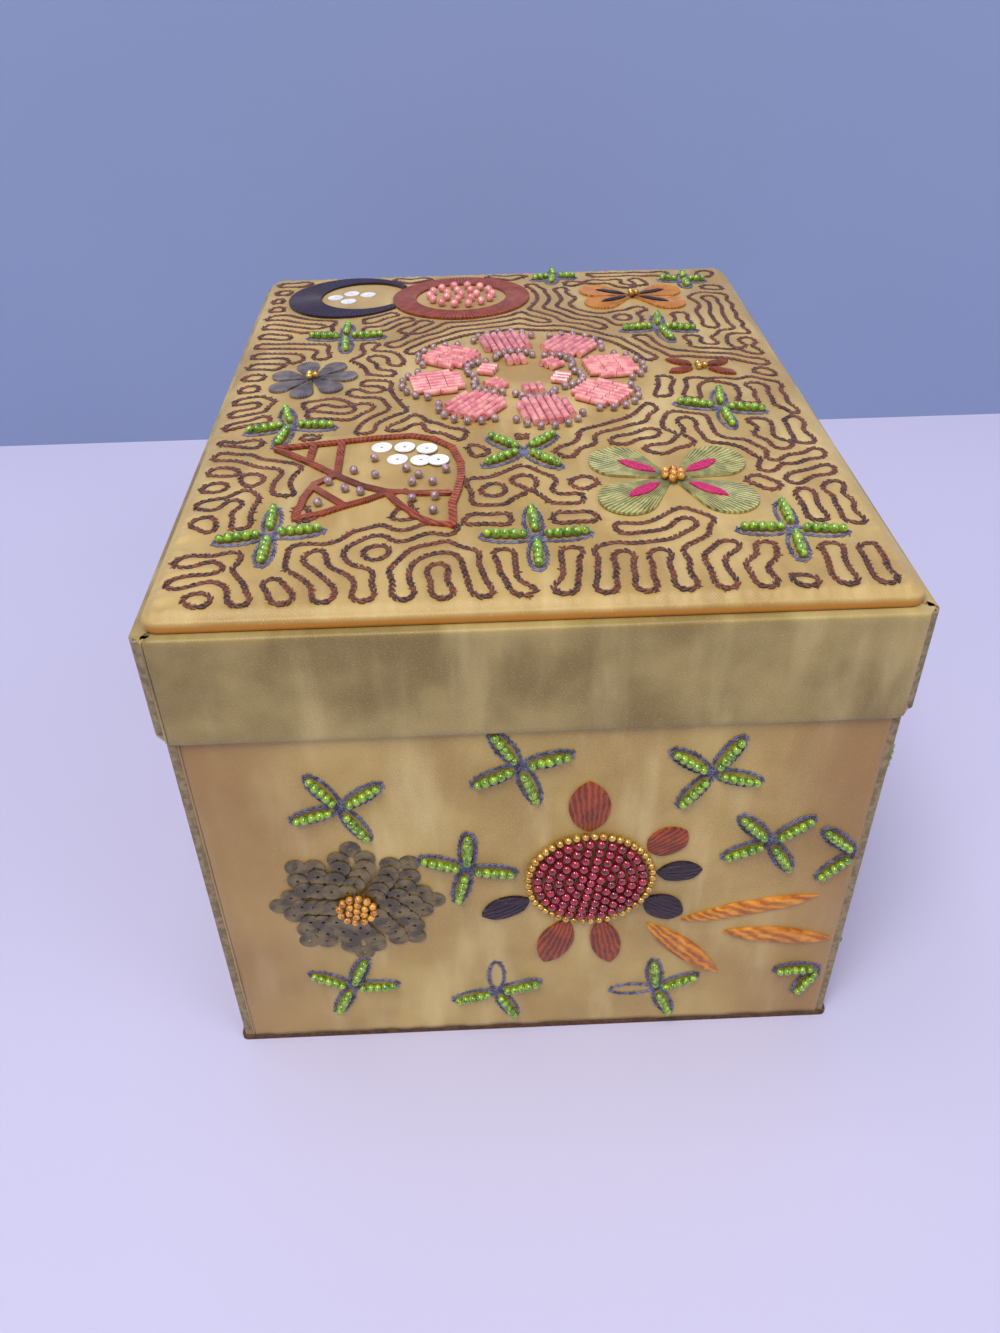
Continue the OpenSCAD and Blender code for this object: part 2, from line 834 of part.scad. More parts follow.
// The half-moon fruit: stitched outlines, as points from the middle of the fruit
fruit_place = [-36, -52];
fruit_line_w = 1.7;
fruit_top_line = [
  [-22.9, 18.6], [-10.4, 19.7], [1.7, 21], [9.7, 21.2], [15.1, 19], [19.8, 13.9], [21.7, 6.4],
  [21.8, -0.6], [21, -6.6], [19.7, -12.8], [19.8, -21.3]
];
fruit_fold_line = [
  [-22.7, 18.1], [-14.6, 10.7], [-7.3, 3.2], [-1.1, -2.4], [4.7, -5.7], [10.4, -7.2], [18.7, -7.7]
];
fruit_low_line = [[5.1, -6.5], [7.9, -11.8], [12, -17.7], [15.5, -20.7], [19.5, -21.8]];
fruit_lobe_line = [[-7.7, 2.8], [-11.8, -0.4], [-13.8, -6.8], [-14.6, -15.2]];
fruit_lobe_base = [[-14.3, -15.5], [-8.9, -13.8], [-4.2, -11.2], [0.6, -9.1], [4.4, -6.7]];
fruit_cross_lines = [[[-13.8, 18.8], [-14.3, 11]], [[-7.1, 19.2], [-7, 3.5]], [[-11.6, -2.4], [-4.6, -10.7]]];
module fruit_outline() {
  color("brown")
    on_panel(fruit_place[0], fruit_place[1]) {
      for (line = concat(
        [fruit_top_line, fruit_fold_line, fruit_low_line, fruit_lobe_line, fruit_lobe_base],
        fruit_cross_lines
      ))
        stroke(line, fruit_line_w);
    }
}
fruit_bead_list = [
  [1.4, 9.6], [-3.1, 4.1], [2, 1.4], [9.1, 3.7], [12, 0.4], [18.3, 2.4], [10.6, -3], [15.3, -3.1],
  [10.8, -10.2], [15.9, -9.7], [15.5, -15.6], [-8.6, -0.6], [-4.6, -4.2], [-1, -6], [-10.2, -9.9]
];
module fruit_beads() {
  color("rosybrown")
    for (p = fruit_bead_list)
      on_panel(fruit_place[0] + p[0], fruit_place[1] + p[1])
        bead(mauve_d);
}
white_sequin_list = [[2.8, 16.2], [8.4, 15.2], [13.8, 13.4], [6.8, 9.6], [12.4, 8.2], [16.6, 7.4]];
module white_sequins() {
  color("white")
    for (i = [0:len(white_sequin_list) - 1])
      let (p = white_sequin_list[i])
      on_panel(fruit_place[0] + p[0], fruit_place[1] + p[1])
        translate([0, 0, (i % 3) * sequin_layer])
          sequin();
}

// The butterfly flower: four metallic lobes, a magenta stroke on each and beads in the middle
butterfly_place = [34, -56];
butterfly_angles = [35, 145, 218, 322];
module butterfly_petals() {
  color("darkseagreen")
    on_panel(butterfly_place[0], butterfly_place[1])
      linear_extrude(stitch_t)
        for (a = butterfly_angles)
          rotate(a)
            lobe_shape(21, 13.5);
}
module butterfly_strokes() {
  color("mediumvioletred")
    on_panel(butterfly_place[0], butterfly_place[1])
      for (a = butterfly_angles)
        rotate([0, 0, a])
          translate([4.2, 0, stitch_t])
            padded_leaf(10, 3, stitch_t);
}
module butterfly_beads() {
  color("gold")
    on_panel(butterfly_place[0], butterfly_place[1])
      translate([0, 0, stitch_t + seat])
        bead_rings(gold_d, gold_d + 0.2, 1, 0);
}

foot_card();
floor_board();
front_wall();
back_wall();
left_wall();
right_wall();
base_cover();
front_lining();
back_lining();
left_lining();
right_lining();
floor_lining();
front_bead_sprigs();
corner_bead_sprigs();
sequin_flower();
amber_bead_middle();
red_bead_cluster();
gold_bead_edging();
rust_petals();
aubergine_petals();
ochre_leaves();
lid_board();
front_rim_card();
back_rim_card();
left_rim_card();
right_rim_card();
rim_cover();
rim_lining();
lid_lining();
panel_card();
panel_wadding();
panel_cover();
lid_bead_sprigs();
pink_flower_petals();
pink_flower_edging();
crescent();
crescent_sequins();
ring_flower();
ring_flower_beads();
ochre_flower();
ochre_flower_strokes();
ruffled_flower();
small_rust_flower();
flower_middle_beads();
fruit_outline();
fruit_beads();
white_sequins();
butterfly_petals();
butterfly_strokes();
butterfly_beads();
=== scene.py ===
# Satin keepsake box with a wadded, embroidered and beaded lid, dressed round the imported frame.
# Lengths are millimetres, apart from the floor, the backdrop and the lamps, which are in metres.
import json

import bpy
import numpy as np
from mathutils import Matrix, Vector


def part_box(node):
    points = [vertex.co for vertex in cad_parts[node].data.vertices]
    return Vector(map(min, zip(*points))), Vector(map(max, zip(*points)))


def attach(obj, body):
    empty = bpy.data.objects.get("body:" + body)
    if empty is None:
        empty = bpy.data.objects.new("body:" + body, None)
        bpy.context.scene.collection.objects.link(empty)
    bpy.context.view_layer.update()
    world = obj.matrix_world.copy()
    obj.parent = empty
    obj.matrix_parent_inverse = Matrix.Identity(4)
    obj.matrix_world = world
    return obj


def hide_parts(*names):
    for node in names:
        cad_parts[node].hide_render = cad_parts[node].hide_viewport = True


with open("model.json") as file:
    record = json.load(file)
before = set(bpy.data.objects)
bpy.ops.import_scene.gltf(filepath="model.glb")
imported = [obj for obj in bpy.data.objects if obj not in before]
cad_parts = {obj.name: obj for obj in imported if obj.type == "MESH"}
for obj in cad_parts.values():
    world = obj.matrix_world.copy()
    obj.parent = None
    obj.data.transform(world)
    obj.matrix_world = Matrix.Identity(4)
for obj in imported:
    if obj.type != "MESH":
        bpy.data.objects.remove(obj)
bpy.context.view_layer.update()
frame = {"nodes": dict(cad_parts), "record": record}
nodes = frame["nodes"]


def nodeBox(name):
    # the low and high corners of one node of the frame
    low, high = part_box(name)
    return np.array(low) * 1000, np.array(high) * 1000


# The box itself, measured on the frame
rimLow, rimHigh = nodeBox("rim_cover")
coverLow, coverHigh = nodeBox("base_cover")
panelLow, panelHigh = nodeBox("panel_cover")
panelCardHigh = nodeBox("panel_card")[1]
wall = {
    "width": coverHigh[0] - coverLow[0],
    "depth": coverHigh[1] - coverLow[1],
    "foot": coverLow[2],
    "top": coverHigh[2],
    "corner": 2.6,
    "seamIn": 3.0,
    "seamWidth": 0.3,
    "satin": 0.25,
    "board": 2.5,
    "turnedIn": 12.0,
}
rim = {
    "width": rimHigh[0] - rimLow[0],
    "depth": rimHigh[1] - rimLow[1],
    "foot": rimLow[2],
    "top": rimHigh[2],
    "corner": 2.6,
    "footRadius": 5.0,
    "thick": 1.25,
    "turnedIn": 9.0,
}
panel = {
    "width": panelHigh[0] - panelLow[0],
    "depth": panelHigh[1] - panelLow[1],
    "corner": 4.0,
    "low": panelLow[2],
    "cardTop": panelCardHigh[2],
    "cover": 0.4,
    "roll": 1.8,
    "rollIn": 4.0,
    "crown": 3.0,
}


# Meshes


class Shape:
    # Points, four-sided and three-sided faces of one piece, with a UV and a tint for each point
    def __init__(self):
        self.points, self.quads, self.tris, self.uv, self.tint = [], [], [], [], []
        self.count = 0

    def add(self, points, quads=None, tris=None, uv=None, tint=0.5):
        # faces number the points added with them from 0, and are shifted past the earlier ones
        n = len(points)
        self.points.append(points)
        for store, faces in ((self.quads, quads), (self.tris, tris)):
            if faces is not None and len(faces):
                store.append(np.asarray(faces) + self.count)
        self.uv.append(np.zeros((n, 2)) if uv is None else uv)
        self.tint.append(np.broadcast_to(np.asarray(tint, float), (n,)))
        self.count += n

    def build(self, name, body, material, slot, replaces=()):
        # one mesh of all that was added, riding on its body
        points = np.concatenate(self.points) / 1000
        quads = np.concatenate(self.quads) if self.quads else np.zeros((0, 4), int)
        tris = np.concatenate(self.tris) if self.tris else np.zeros((0, 3), int)
        loops = np.concatenate([quads.ravel(), tris.ravel()]).astype(np.int32)
        starts = np.concatenate([np.arange(len(quads)) * 4, quads.size + np.arange(len(tris)) * 3])
        mesh = bpy.data.meshes.new(name)
        mesh.vertices.add(len(points))
        mesh.vertices.foreach_set("co", points.astype(np.float32).ravel())
        mesh.loops.add(len(loops))
        mesh.loops.foreach_set("vertex_index", loops)
        mesh.polygons.add(len(starts))
        mesh.polygons.foreach_set("loop_start", starts.astype(np.int32))
        mesh.polygons.foreach_set("use_smooth", np.full(len(starts), True))
        uv = np.concatenate(self.uv)[loops]
        mesh.uv_layers.new(name="cloth").data.foreach_set("uv", uv.astype(np.float32).ravel())
        tint = mesh.attributes.new("tint", "FLOAT", "POINT")
        tint.data.foreach_set("value", np.concatenate(self.tint).astype(np.float32))
        mesh.update(calc_edges=True)
        mesh.validate()
        piece = bpy.data.objects.new(name, mesh)
        bpy.context.scene.collection.objects.link(piece)
        piece.data.materials.append(material)
        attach(piece, body)
        if replaces:
            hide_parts(*replaces)
        return piece


tiny = 1e-9  # keeps a division from being by nothing
noiseWaves = {"count": 9, "shortest": 0.6, "longest": 1.7, "calm": 3}


def gridQuads(rows, cols, closeCols=False):
    # faces of a grid of points stored row by row: each joins a point, the next one along and
    # the two beside them in the next row; with closeCols the last column joins the first
    r = np.arange(rows - 1)[:, None]
    c = np.arange(cols if closeCols else cols - 1)[None, :]
    r2, c2 = r + 1, (c + 1) % cols
    return np.stack([r * cols + c, r * cols + c2, r2 * cols + c2, r2 * cols + c], -1).reshape(-1, 4)


def unit(v):
    # the same directions, each with a length of 1
    return v / np.maximum(np.linalg.norm(v, axis=-1, keepdims=True), tiny)


def smooth(x, low, high):
    # 0 below low, 1 above high, with a soft S between
    t = np.clip((x - low) / (high - low), 0, 1)
    return t * t * (3 - 2 * t)


def softNoise(x, y, seed, size):
    # a smooth random height: the sum of sine waves in random directions, about size apart
    draw = np.random.default_rng(seed)
    total = np.zeros(np.broadcast(x, y).shape)
    for _ in range(noiseWaves["count"]):
        angle, phase = draw.uniform(0, 2 * np.pi, 2)
        step = 2 * np.pi / (size * draw.uniform(noiseWaves["shortest"], noiseWaves["longest"]))
        total = total + np.sin((x * np.cos(angle) + y * np.sin(angle)) * step + phase)
    return total / noiseWaves["calm"]


# Materials


def paint(r, g, b):
    # a colour given as it looks on screen, 0 to 255, made linear
    c = np.array([r, g, b]) / 255
    return (*np.where(c < 0.04045, c / 12.92, ((c + 0.055) / 1.055) ** 2.4), 1.0)


class Socket:
    # A number or colour in a material, so that shader maths reads as plain arithmetic
    def __init__(self, shader, link):
        self.shader, self.link = shader, link

    def maths(self, kind, a, b=0.0):
        return self.shader.node("ShaderNodeMath", {"operation": kind}, {0: a, 1: b})

    def __add__(self, other):
        return self.maths("ADD", self, other)

    def __sub__(self, other):
        return self.maths("SUBTRACT", self, other)

    def __mul__(self, other):
        return self.maths("MULTIPLY", self, other)

    def __rsub__(self, other):
        return self.maths("SUBTRACT", other, self)

    __radd__ = __add__

    def wave(self):
        # a sine wave between 0 and 1
        return self.maths("SINE", self) * 0.5 + 0.5

    def size(self):
        return self.maths("ABSOLUTE", self)

    def between(self, low, high):
        # 0 below low, 1 above high, with a soft S between
        inputs = {"Value": self, "From Min": low, "From Max": high}
        return self.shader.node("ShaderNodeMapRange", {"interpolation_type": "SMOOTHSTEP"}, inputs)


class Shader:
    # A material under construction
    def __init__(self, name, **values):
        self.material = bpy.data.materials.new(name)
        self.material.use_nodes = True
        self.tree = self.material.node_tree
        self.surface = self.tree.nodes["Principled BSDF"]
        self.set(**values)

    def set(self, **values):
        # sockets of the surface, named in one word: baseColor, roughness, coatWeight and so on
        names = {s.name.replace(" ", "").lower(): s for s in self.surface.inputs}
        for key, value in values.items():
            self.feed(names[key.lower()], value)

    def feed(self, socket, value):
        if isinstance(value, Socket):
            self.tree.links.new(value.link, socket)
        else:
            socket.default_value = value

    def node(self, kind, settings=None, inputs=None, output=0):
        made = self.tree.nodes.new(kind)
        for key, value in (settings or {}).items():
            setattr(made, key, value)
        for key, value in (inputs or {}).items():
            self.feed(made.inputs[key], value)
        return Socket(self, made.outputs[output])

    def mix(self, share, a, b):
        return self.node("ShaderNodeMix", {"data_type": "RGBA"}, {0: share, 6: a, 7: b}, 2)

    def place(self):
        # where a point is on the object, in millimetres
        where = self.node("ShaderNodeTexCoord", output=3)
        return self.node("ShaderNodeVectorMath", {"operation": "SCALE"}, {0: where, "Scale": 1000})

    def cloth(self):
        # where a point is on the flat cloth, in millimetres
        return self.node("ShaderNodeUVMap", {"uv_map": "cloth"})

    def tint(self):
        return self.node("ShaderNodeAttribute", {"attribute_name": "tint"}, output=2)

    def stretched(self, vector, scale, turn=0.0):
        inputs = {"Vector": vector, "Scale": scale, "Rotation": (0, 0, turn)}
        return self.node("ShaderNodeMapping", {}, inputs)

    def noise(self, vector, scale, detail=2.0):
        inputs = {"Vector": vector, "Scale": scale, "Detail": detail}
        return self.node("ShaderNodeTexNoise", {}, inputs)

    def part(self, vector, index):
        return self.node("ShaderNodeSeparateXYZ", {}, {0: vector}, index)

    def bump(self, height, distance, strength):
        inputs = {"Height": height, "Distance": distance / 1000, "Strength": strength}
        self.set(normal=self.node("ShaderNodeBump", {}, inputs))


satinLook = {
    "patchSize": 0.035,
    "patches": (0.35, 0.68),
    "streakSize": (0.09, 0.02, 0.09),
    "streaks": (0.45, 0.75),
    "streakShare": 0.55,
    "twill": 0.62,
    "slope": 0.9,
    "wander": 0.35,
    "ribShare": 0.16,
    "floatSize": (1.6, 3.4, 1.6),
    "floatTurn": 0.75,
    "floats": (0.56, 0.74),
    "floatShare": 0.3,
    "sideNoise": 0.03,
    "sideWander": 24,
    "roughness": 0.42,
    "patchesDuller": 0.1,
    "floatsGlossier": 0.12,
    "ribHeight": 0.7,
    "floatHeight": 0.5,
    "depth": 0.07,
    "relief": 0.6,
}


def satin(name, dark, middle, light, cloth=True, roll=None, sides=None):
    # warp-faced satin: broad soft patches of tone, fine diagonal ribs, and streaks of painted sheen and
    #     # tiny floats with painted glints, both in the light tone; roll gives painted warm light low on
    #     a
    #     # rolled edge, and sides a darker tone far left and right, partly the cloth's own and partly
    #     painted shade
    look = satinLook
    s = Shader(name, sheenWeight=0.25, sheenRoughness=0.4, anisotropic=0.5, specularIorLevel=0.55)
    where = s.cloth() if cloth else s.place()
    patches = s.noise(where, look["patchSize"], 3.0).between(*look["patches"])
    colour = s.mix(patches, dark, middle)
    # streaks of painted sheen: lighter bands of the light tone that stand in for light caught along the
    # satin
    streaks = s.noise(s.stretched(where, look["streakSize"]), 1.0, 4.0).between(*look["streaks"])
    colour = s.mix(streaks * look["streakShare"], colour, light)
    wander = s.noise(where, 0.5, 1.0) * look["wander"]
    across = s.part(where, 0) + s.part(where, 1) * look["slope"] + wander
    ribs = (across * (2 * np.pi / look["twill"])).wave()
    floats = s.noise(s.stretched(where, look["floatSize"], look["floatTurn"]), 1.0)
    floats = floats.between(*look["floats"])
    colour = s.mix(ribs * look["ribShare"], colour, dark)
    # the floats are also painted lighter: painted glints, on top of their real relief and gloss
    colour = s.mix(floats * look["floatShare"], colour, light)
    # roll: painted warm light, the same satin made golden-orange low on the rolled edge where it turns
    # over
    if roll is not None:
        height = s.part(s.place(), 2)
        colour = s.mix(1 - height.between(*roll["heights"]), colour, roll["tone"])
    # sides: darker amber towards both ends, partly the cloth's own tone and partly painted shade where
    # the satin's sheen falls off
    if sides is not None:
        wobble = (s.noise(s.place(), look["sideNoise"]) - 0.5) * look["sideWander"]
        away = (s.part(s.place(), 0) + wobble).size()
        colour = s.mix(away.between(*sides["away"]) * sides["share"], colour, sides["tone"])
    gloss = floats * look["floatsGlossier"]
    s.set(baseColor=colour, roughness=look["roughness"] + patches * look["patchesDuller"] - gloss)
    relief = ribs * look["ribHeight"] + floats * look["floatHeight"]
    s.bump(relief, look["depth"], look["relief"])
    return s.material


threadLook = {"fibre": 2.4, "fibres": (0.5, 0.75), "share": 0.5, "depth": 0.08, "relief": 0.5}


def thread(name, dark, light):
    # spun thread: each stitch has its own tone, with fine fibres along it
    s = Shader(name, sheenWeight=0.3, sheenRoughness=0.4, roughness=0.45)
    fibres = s.noise(s.place(), threadLook["fibre"])
    colour = s.mix(s.tint(), dark, light)
    lighter = fibres.between(*threadLook["fibres"]) * threadLook["share"]
    s.set(baseColor=s.mix(lighter, colour, light))
    s.bump(fibres, threadLook["depth"], threadLook["relief"])
    return s.material


solidLook = {"detail": 3.0, "grain": (0.35, 0.65), "coatRough": 0.08, "depth": 0.06, "relief": 0.4}


def carried(name, dark, light, roughness, size, metallic=0.0, coat=0.0):
    # a finish for a solid kept from the frame: two tones in a fine grain
    s = Shader(name, metallic=metallic, coatWeight=coat, coatRoughness=solidLook["coatRough"])
    grainNoise = s.noise(s.place(), size, solidLook["detail"])
    colour = s.mix(grainNoise.between(*solidLook["grain"]), dark, light)
    s.set(baseColor=colour, roughness=roughness)
    s.bump(grainNoise, solidLook["depth"], solidLook["relief"])
    return s.material


stitching = {
    "count": 120.0,
    "wanderSize": 0.4,
    "wander": 0.05,
    "patchSize": 0.35,
    "patches": (0.35, 0.65),
    "ribShare": 0.6,
    "patchShare": 0.35,
    "depth": 0.3,
    "relief": 0.9,
    "frontCentre": (12.8, 58.8),
    "lidAbove": 120.0,
}


def spokes(name, tones, centre, upright):
    # satin stitch: close threads that fan out from a centre, each with a rounded back
    s = Shader(name, sheenWeight=0.06, sheenRoughness=0.4, roughness=0.42)
    where = s.place()
    across = s.part(where, 0) - centre[0]
    onward = s.part(where, 2 if upright else 1) - centre[1]
    turn = onward.maths("ARCTAN2", onward, across)
    wander = s.noise(where, stitching["wanderSize"]) * stitching["wander"]
    ribs = ((turn + wander) * stitching["count"]).wave()
    patches = s.noise(where, stitching["patchSize"]).between(*stitching["patches"])
    share = ribs * stitching["ribShare"] + patches * stitching["patchShare"]
    s.set(baseColor=s.mix(share, *tones))
    s.bump(ribs, stitching["depth"], stitching["relief"])
    return s.material


boxSatin = satin(
    "box_satin",
    paint(166, 134, 68),
    paint(194, 164, 94),
    paint(224, 202, 140),
    # its darker sides are partly painted shade of the sheen falling off
    sides={"away": (34, 80), "tone": paint(150, 108, 54), "share": 0.75},
)
rimSatin = satin("rim_satin", paint(126, 104, 50), paint(170, 148, 88), paint(204, 182, 122))
panelSatin = satin(
    "panel_satin",
    paint(160, 128, 66),
    paint(184, 154, 90),
    paint(212, 188, 130),
    # the rolled edge's golden-orange is painted light
    roll={"heights": (134.0, 135.4), "tone": paint(188, 122, 32)},
)
liningSatin = satin(
    "lining_satin", paint(176, 146, 84), paint(200, 172, 112), paint(222, 204, 154), cloth=False
)
chainBrown = thread("chain_brown", paint(50, 20, 8), paint(112, 54, 22))
indigoThread = thread("indigo_thread", paint(52, 52, 84), paint(112, 112, 148))

# Finishes of the solids kept from the frame: two tones, roughness and size of the grain
slotFinishes = {
    "satin": boxSatin,
    "embroidered_satin": panelSatin,
    "lining": liningSatin,
    "board": carried("board_card", paint(120, 104, 78), paint(150, 132, 100), 0.9, 0.8),
    "foot_card": carried("foot_card_dark", paint(70, 42, 24), paint(96, 62, 36), 0.8, 0.9),
    "wadding": carried("wadding_white", paint(214, 210, 200), paint(236, 233, 226), 0.95, 0.5),
    "green_beads": carried(
        "green_glass", paint(70, 112, 12), paint(150, 182, 40), 0.12, 0.9, coat=1.0
    ),
    "red_beads": carried("red_glass", paint(92, 5, 22), paint(172, 24, 54), 0.12, 0.8, coat=1.0),
    "amber_beads": carried(
        "amber_glass", paint(150, 84, 12), paint(226, 160, 44), 0.15, 0.8, coat=1.0
    ),
    "pink_beads": carried(
        "pink_glass", paint(206, 112, 116), paint(236, 160, 150), 0.25, 0.4, coat=0.8
    ),
    "mauve_beads": carried(
        "mauve_glass", paint(120, 92, 96), paint(172, 142, 140), 0.2, 0.9, coat=0.8
    ),
    "gold_beads": carried(
        "gold_bead", paint(168, 116, 36), paint(226, 184, 88), 0.2, 0.8, metallic=0.6, coat=0.6
    ),
    "olive_sequins": carried(
        "olive_sequin", paint(66, 54, 24), paint(120, 102, 54), 0.25, 0.3, metallic=0.2, coat=0.6
    ),
    "white_sequins": carried(
        "white_sequin", paint(226, 222, 224), paint(250, 248, 250), 0.25, 0.3, coat=0.5
    ),
    "magenta_thread": carried("magenta_thread", paint(150, 16, 70), paint(206, 44, 104), 0.5, 2.6),
}
threadTones = {
    "rust_thread": (paint(96, 34, 12), paint(176, 78, 32)),
    "aubergine_thread": (paint(14, 3, 14), paint(52, 18, 46)),
    "ochre_thread": (paint(160, 84, 14), paint(230, 152, 50)),
    "grey_thread": (paint(48, 34, 44), paint(150, 138, 136)),
    "metallic_thread": (paint(84, 84, 36), paint(206, 200, 124)),
}


def stitchedFinish(name, slotName):
    # threads fan out from the middle of a lid motif, and on the front from the red flower
    low, high = nodeBox(name)
    onLid = low[2] > stitching["lidAbove"]
    centre = (low + high)[:2] / 2 if onLid else stitching["frontCentre"]
    centre = [float(c) for c in centre]
    return spokes(name + "_stitches", threadTones[slotName], centre, not onLid)


for sub in frame["record"]["subparts"]:
    stitched = sub["material_slot"] in threadTones
    if stitched:
        finish = stitchedFinish(sub["node"], sub["material_slot"])
    else:
        finish = slotFinishes[sub["material_slot"]]
    nodes[sub["node"]].data.materials.clear()
    nodes[sub["node"]].data.materials.append(finish)
print("materials made")


# Satin round the walls and the rim

wrap = {"step": 1.25, "coarser": 1.8, "arcPoints": 7, "endPoints": 4, "tightest": 0.3, "face": 0.05}


def stations(dims):
    # places round the box from one side of the join to the other, anticlockwise from the front:
    # the corner centre's share across and back, the way out, and how far along the cloth it is
    width, depth, corner = dims["width"], dims["depth"], dims["corner"]
    halfX, halfY = width / 2 - corner, depth / 2 - corner
    start = (-width / 2 + wall["seamIn"] + wall["seamWidth"]) / halfX
    end = (-width / 2 + wall["seamIn"]) / halfX
    arc = np.radians(np.linspace(-90, 0, wrap["arcPoints"]))[1:-1]
    step, coarser = wrap["step"], wrap["coarser"]
    runs = [
        (np.linspace(start, 1, int(width / step)), -1.0, -90),
        (1.0, np.linspace(-1, 1, int(depth / step / coarser)), 0),
        (np.linspace(1, -1, int(width / step / coarser)), 1.0, 90),
        (-1.0, np.linspace(1, -1, int(depth / step / coarser)), 180),
        (np.linspace(-1, end, wrap["endPoints"]), -1.0, 270),
    ]
    table = []
    for k, (x, y, face) in enumerate(runs):
        x, y = np.broadcast_arrays(np.asarray(x, float), np.asarray(y, float))
        table.append(np.stack([x, y, np.full(x.shape, np.radians(face))], -1))
        if k < len(runs) - 1:
            # known fault: each corner's arc is a quarter turn too far on, and folds inwards
            turn = arc + np.radians(90 * (k + 1))
            x, y = np.full(len(arc), x[-1]), np.full(len(arc), y[-1])
            table.append(np.stack([x, y, turn], -1))
    table = np.concatenate(table)
    out = np.stack([np.cos(table[:, 2]), np.sin(table[:, 2])], -1)
    flat = table[:, :2] * (halfX, halfY) + corner * out
    along = np.concatenate([[0], np.cumsum(np.linalg.norm(np.diff(flat, axis=0), axis=1))])
    return table[:, :2], out, along + flat[0, 0]


def wrapped(dims, profile, lowEdge, wave):
    # a strip of satin wrapped round: profile is (inset, height) from one edge of the cloth to the
    # other, lowEdge lifts the lower part near the corners and wave pushes the face in and out
    share, out, along = stations(dims)
    inset, height = np.array(profile, float).T
    radius = np.maximum(wrap["tightest"], dims["corner"] - inset)[:, None]
    half = np.array([dims["width"], dims["depth"]]) / 2
    reach = half[None, None] - inset[:, None, None] - radius[..., None]
    flat = share[None] * reach + radius[..., None] * out[None]
    edge = half - np.abs(flat)
    fromCorner = np.hypot(edge[..., 0].clip(0), edge[..., 1].clip(0))
    z = lowEdge(fromCorner, height[:, None] + 0 * fromCorner)
    push = wave(along[None] + 0 * z, z) * (inset[:, None] < wrap["face"])
    flat = flat + push[..., None] * out[None]
    points = np.concatenate([flat, z[..., None]], -1).reshape(-1, 3)
    span = np.concatenate([[0], np.cumsum(np.hypot(np.diff(inset), np.diff(height)))])
    uv = np.stack(np.broadcast_arrays(along[None], span[:, None] + profile[0][1]), -1)
    shape = Shape()
    shape.add(points, gridQuads(len(profile), len(along)), uv=uv.reshape(-1, 2))
    return shape


def thicken(piece, thickness):
    # gives the cloth its thickness on the inside
    cloth = piece.modifiers.new("cloth", "SOLIDIFY")
    cloth.thickness = thickness / 1000
    cloth.offset = -1


baseCloth = {"rows": 92, "thickness": 0.9}
wrinkles = {
    "seed": 3,
    "spacing": 9,
    "depth": 0.16,
    "tilt": 0.18,
    "stretch": 0.12,
    "lowReach": 62,
    "lowFade": 55,
    "leftOf": 12,
    "leftFade": 40,
    "everywhere": 0.25,
    "low": 0.4,
    "unevenSeed": 5,
    "unevenSize": 34,
    "uneven": 0.05,
    "out": 0.08,
    "most": 0.24,
}


def wallWave(along, z):
    # soft upright wrinkles, strongest low on the left of the front, and a slight unevenness
    w = wrinkles
    low = smooth(wall["foot"] + w["lowReach"] - z, 0, w["lowFade"])
    left = smooth(w["leftOf"] - along, 0, w["leftFade"])
    folds = softNoise(along + w["tilt"] * z, z * w["stretch"], w["seed"], w["spacing"])
    folds = folds * w["depth"] * (w["everywhere"] + low * (w["low"] + left))
    uneven = softNoise(along, z, w["unevenSeed"], w["unevenSize"]) * w["uneven"]
    return np.clip(folds + uneven + w["out"], 0, w["most"])


def coverProfile():
    # up the face, over the wall's edge, and down the inside as far as the cloth is turned in
    foot, top = wall["foot"], wall["top"]
    face = [(0, z) for z in np.linspace(foot + 0.05, top - 0.6, baseCloth["rows"])]
    inner = 2 * wall["satin"] + wall["board"]
    over = [(0.15, top - 0.2), (0.5, top), (inner - 0.4, top)]
    return face + over + [(inner, top - 0.5), (inner, top - wall["turnedIn"])]


baseCover = wrapped(wall, coverProfile(), lambda corner, z: z, wallWave).build(
    "box_satin_cover", "base", boxSatin, "satin", ["base_cover"]
)
thicken(baseCover, wall["satin"] * baseCloth["thickness"])

rimCloth = {"rows": 22, "thickness": 0.8}
rimRipple = {"seed": 11, "size": 30, "stretch": 0.5, "depth": 0.05, "out": 0.04, "most": 0.12}


def rimFoot(fromCorner, z):
    # the rim's lower corners are rounded off: the lower edge rises there on a quarter circle
    r = rim["footRadius"]
    near = np.clip(r - fromCorner, 0, r)
    lift = r - np.sqrt(r * r - near * near)
    share = (rim["top"] - z) / (rim["top"] - rim["foot"])
    return z + lift * np.clip(share, 0, 1)


def rimWave(along, z):
    # a slight unevenness that pushes the satin outwards only
    r = rimRipple
    push = softNoise(along, z * r["stretch"], r["seed"], r["size"]) * r["depth"]
    return np.clip(push + r["out"], 0, r["most"])


def rimProfile():
    # from under the rim, up its face and over the lid board
    foot, top = rim["foot"], rim["top"]
    face = [(0, z) for z in np.linspace(foot + 0.5, top - 0.7, rimCloth["rows"])]
    under = [(rim["thick"], foot + 0.02), (0.7, foot), (0.35, foot + 0.04), (0.1, foot + 0.2)]
    over = [(0.1, top - 0.3), (0.35, top - 0.07), (0.8, top), (2.0, top), (rim["turnedIn"], top)]
    return under + face + over


rimCover = wrapped(rim, rimProfile(), rimFoot, rimWave).build(
    "rim_satin_cover", "lid", rimSatin, "satin", ["rim_cover"]
)
thicken(rimCover, wall["satin"] * rimCloth["thickness"])
print("satin wrapped")


# The wadded panel and its wandering line of chain stitch


def crownAt(x, y):
    # the panel's height over its rolled edge: two parabolas multiplied
    across = 1 - (2 * x / panel["width"]) ** 2
    back = 1 - (2 * y / panel["depth"]) ** 2
    return panel["crown"] * np.clip(across, 0, 1) * np.clip(back, 0, 1)


